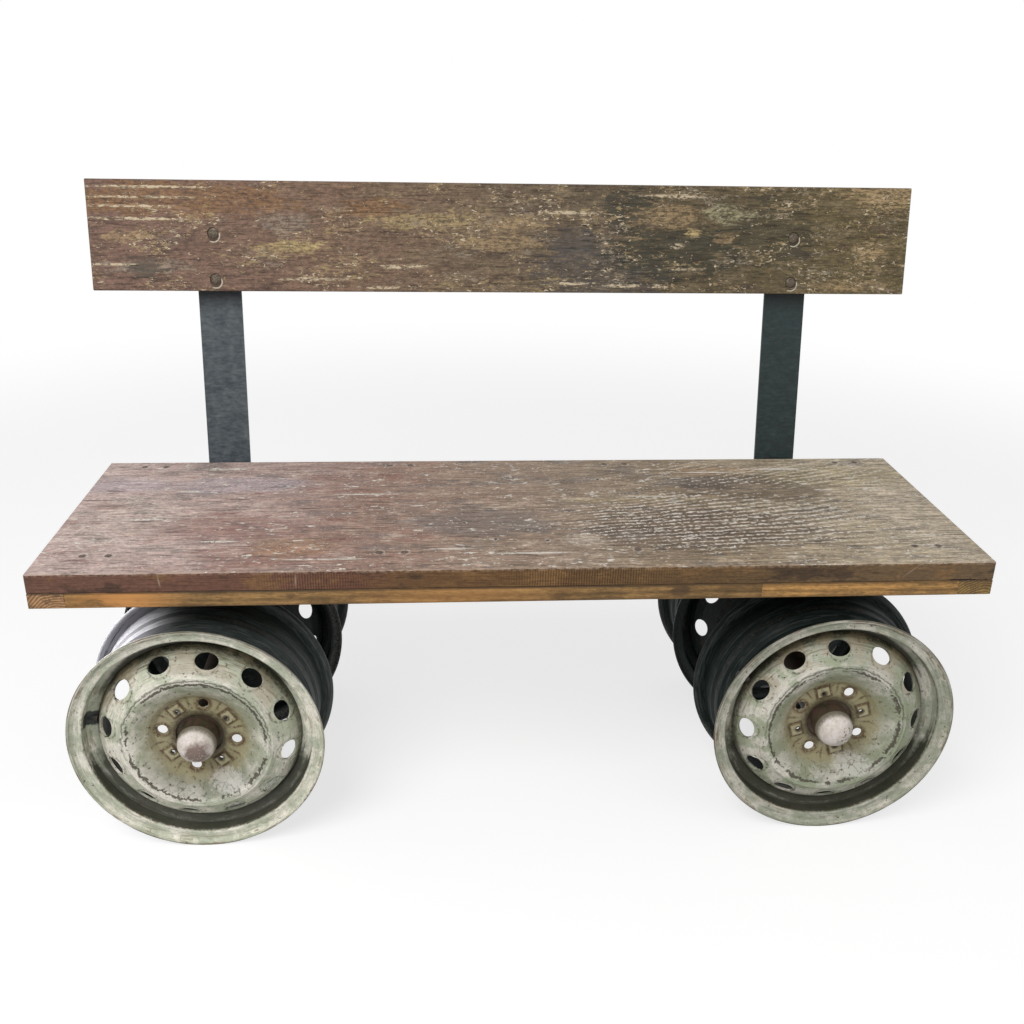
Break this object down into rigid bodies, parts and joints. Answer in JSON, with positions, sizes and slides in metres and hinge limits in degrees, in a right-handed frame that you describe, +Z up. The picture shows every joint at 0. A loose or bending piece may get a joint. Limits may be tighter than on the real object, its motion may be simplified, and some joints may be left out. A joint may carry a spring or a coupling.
{
  "type": "wagon seat bench",
  "caption": "Rustic wagon-style bench: plank seat and leaning back board on bent flat bars, standing on steel road-wheel rims joined by axle pipes.",
  "frame": {"origin": "on the floor under the middle of the whole bench", "axes": "+X to the right seen from the front, along the seat; +Y to the back, so the front faces -Y; +Z up"},
  "size_m": [1.45, 0.5958, 0.9761],
  "materials": {
    "seat_wood": "weathered, lime-flecked oiled plank",
    "back_wood": "weathered brown with flaking tan and cream streaks",
    "batten_wood": "oiled golden brown, sawn",
    "bar_steel": "dark slate blue-grey, satin",
    "bearer_steel": "dark grey, satin",
    "weld_steel": "painted over weld bead",
    "barrel_paint": "sage paint inside, dark green-black outside, worn",
    "disc_paint": "weathered pale sage paint with olive grime and cracks",
    "cap_paint": "pale pinkish-grey paint, worn to rust at the tip",
    "axle_steel": "dark paint",
    "valve_rubber": "perished black rubber",
    "fastener_steel": "dull, slightly rusted"
  },
  "bodies": {
    "root": {"axle_cap_front_left": "cap_paint", "axle_cap_front_right": "cap_paint", "axle_cap_rear_left": "cap_paint", "axle_cap_rear_right": "cap_paint", "axle_collar_front_left": "axle_steel", "axle_collar_front_right": "axle_steel", "axle_collar_rear_left": "axle_steel", "axle_collar_rear_right": "axle_steel", "axle_pipe_left": "axle_steel", "axle_pipe_right": "axle_steel", "back_board": "back_wood", "back_bolts": "fastener_steel", "back_nuts": "fastener_steel", "back_washers": "fastener_steel", "bar_batten_left": "batten_wood", "bar_batten_right": "batten_wood", "bar_screws": "fastener_steel", "bar_welds_left": "weld_steel", "bar_welds_right": "weld_steel", "bearer_left": "bearer_steel", "bearer_right": "bearer_steel", "bearer_welds_left": "weld_steel", "bearer_welds_right": "weld_steel", "bent_bar_left": "bar_steel", "bent_bar_right": "bar_steel", "collar_welds_left": "weld_steel", "collar_welds_right": "weld_steel", "end_batten_left": "batten_wood", "end_batten_right": "batten_wood", "frame_screws": "fastener_steel", "front_rail_left": "batten_wood", "front_rail_right": "batten_wood", "inner_batten_left": "batten_wood", "inner_batten_right": "batten_wood", "outer_batten_left": "batten_wood", "outer_batten_right": "batten_wood", "rim_barrel_front_left": "barrel_paint", "rim_barrel_front_right": "barrel_paint", "rim_barrel_rear_left": "barrel_paint", "rim_barrel_rear_right": "barrel_paint", "rim_disc_front_left": "disc_paint", "rim_disc_front_right": "disc_paint", "rim_disc_rear_left": "disc_paint", "rim_disc_rear_right": "disc_paint", "seat_plank_front": "seat_wood", "seat_plank_rear": "seat_wood", "seat_screws": "fastener_steel", "tyre_valves": "valve_rubber"}
  },
  "joints": []
}
